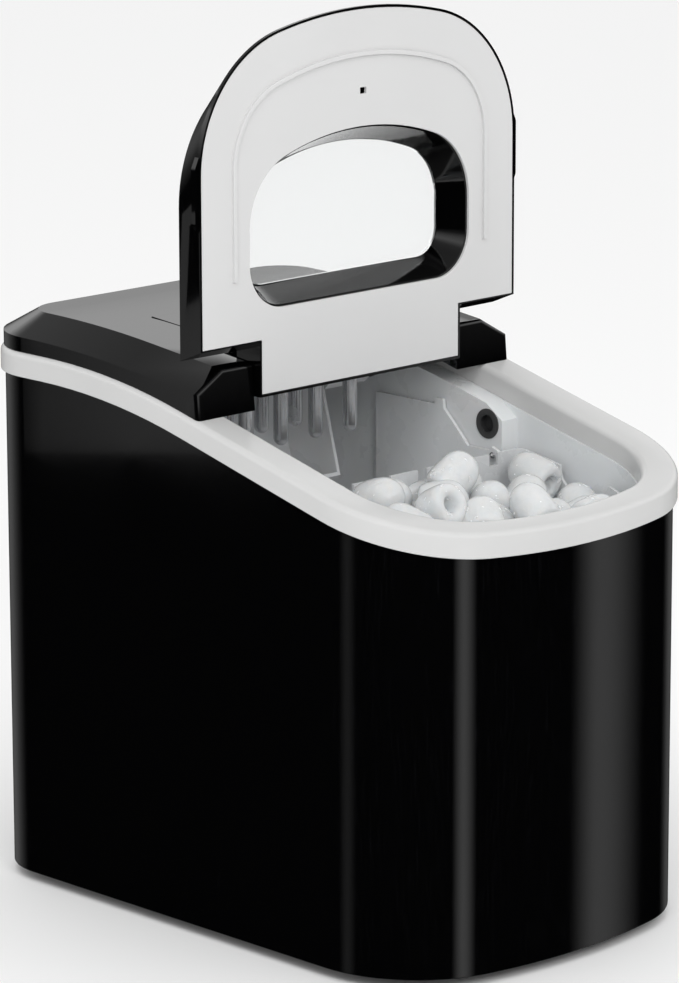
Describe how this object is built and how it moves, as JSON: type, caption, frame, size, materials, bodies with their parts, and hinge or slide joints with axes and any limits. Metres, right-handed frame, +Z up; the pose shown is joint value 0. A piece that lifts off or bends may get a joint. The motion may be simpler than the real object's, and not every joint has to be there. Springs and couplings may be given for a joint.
{
  "type": "countertop ice maker",
  "caption": "Countertop bullet-ice maker with a rounded nose, an upright open lid with a window, a lift-out ice basket and a freezing chamber behind it.",
  "frame": {"origin": "under the middle of the machine, on the surface that its feet stand on", "axes": "+Z up, -Y towards the rounded nose, +X to the right of a person who faces the rear from the nose"},
  "size_m": [0.2434, 0.359, 0.4995],
  "materials": {
    "gloss_black": "piano-black moulded plastic",
    "gloss_white": "glossy white moulded plastic",
    "liner_white": "satin white moulded plastic",
    "tank_white": "satin white moulded plastic",
    "basket_plastic": "translucent white plastic",
    "clear_window": "clear plastic",
    "clear_hose": "clear silicone",
    "grey_plastic": "fine-textured dark grey plastic",
    "black_rubber": "matte rubber",
    "foam": "closed-cell foam",
    "chrome": "polished steel",
    "nickel": "nickel-plated copper",
    "copper": "drawn copper tube",
    "fin_aluminium": "mill-finish aluminium",
    "black_steel": "black enamelled steel",
    "steel": "zinc-plated steel",
    "board_green": "solder-masked circuit board",
    "lamp": "tinted diffuser",
    "silicone_white": "white silicone",
    "brass_pin": "plated brass"
  },
  "bodies": {
    "cabinet": {"outer_casing": "gloss_black", "back_panel": "grey_plastic", "panel_screws": "steel", "base_pan": "grey_plastic", "rubber_feet": "black_rubber", "top_rim": "gloss_white", "inner_tank": "tank_white", "water_reservoir": "tank_white", "tank_insulation": "foam", "rear_cover": "gloss_black", "control_panel": "gloss_black", "indicator_lenses": "lamp", "control_board": "board_green", "hinge_pins": "chrome", "freezing_fingers": "nickel", "evaporator_tube": "nickel", "tray_bushes": "grey_plastic", "tray_motor": "steel", "water_nozzle": "grey_plastic", "ice_sensors": "grey_plastic", "water_pump": "grey_plastic", "pump_hose": "clear_hose", "level_probe": "grey_plastic", "drain_spout": "tank_white", "compressor": "black_steel", "compressor_mounts": "black_rubber", "terminal_cover": "grey_plastic", "start_relay": "grey_plastic", "condenser_tube": "copper", "condenser_fins": "fin_aluminium", "fan_shroud": "grey_plastic", "fan_motor": "steel", "discharge_tube": "copper", "suction_tube": "copper", "filter_drier": "copper", "capillary_tube": "copper", "hot_gas_valve": "steel", "valve_bracket": "steel", "power_inlet": "grey_plastic", "inlet_pins": "brass_pin"},
    "lid": {"lid_shell": "gloss_black", "lid_liner": "liner_white", "lid_window": "clear_window", "hinge_bushes": "liner_white"},
    "basket": {"ice_basket": "basket_plastic"},
    "tray": {"water_tray": "tank_white", "tray_shaft": "steel"},
    "shovel": {"ice_shovel": "tank_white", "shovel_pins": "chrome"},
    "power_key": {"power_button": "gloss_black"},
    "select_key": {"select_button": "gloss_black"},
    "fan": {"fan_blade": "grey_plastic"},
    "plug": {"drain_plug": "silicone_white"}
  },
  "joints": [
    {"name": "lid_hinge", "type": "hinge", "parent": "cabinet", "child": "lid", "pos_m": [0, 0.0044, 0.3078], "axis": [-1, 0, 0], "range_deg": [-104.2, 0]},
    {"name": "basket_lift", "type": "slide", "parent": "cabinet", "child": "basket", "axis": [0, 0, 1], "range_m": [0, 0.18]},
    {"name": "tray_tilt", "type": "hinge", "parent": "cabinet", "child": "tray", "pos_m": [0, 0.07, 0.281], "axis": [1, 0, 0], "range_deg": [-75, 0]},
    {"name": "shovel_swing", "type": "hinge", "parent": "cabinet", "child": "shovel", "pos_m": [0, -0.033, 0.2427], "axis": [1, 0, 0], "range_deg": [0, 28]},
    {"name": "power_press", "type": "slide", "parent": "cabinet", "child": "power_key", "axis": [0, 0.0854, -0.9963], "range_m": [0, 0.001], "stiffness_N_per_m": 400, "springref_m": -0.001},
    {"name": "select_press", "type": "slide", "parent": "cabinet", "child": "select_key", "axis": [0, 0.0854, -0.9963], "range_m": [0, 0.001], "stiffness_N_per_m": 400, "springref_m": -0.001},
    {"name": "fan_spin", "type": "hinge", "parent": "cabinet", "child": "fan", "pos_m": [0.064, 0.1095, 0.078], "axis": [0, 1, 0], "continuous": true},
    {"name": "plug_pull", "type": "slide", "parent": "cabinet", "child": "plug", "axis": [1, 0, 0], "range_m": [0, 0.03]}
  ]
}
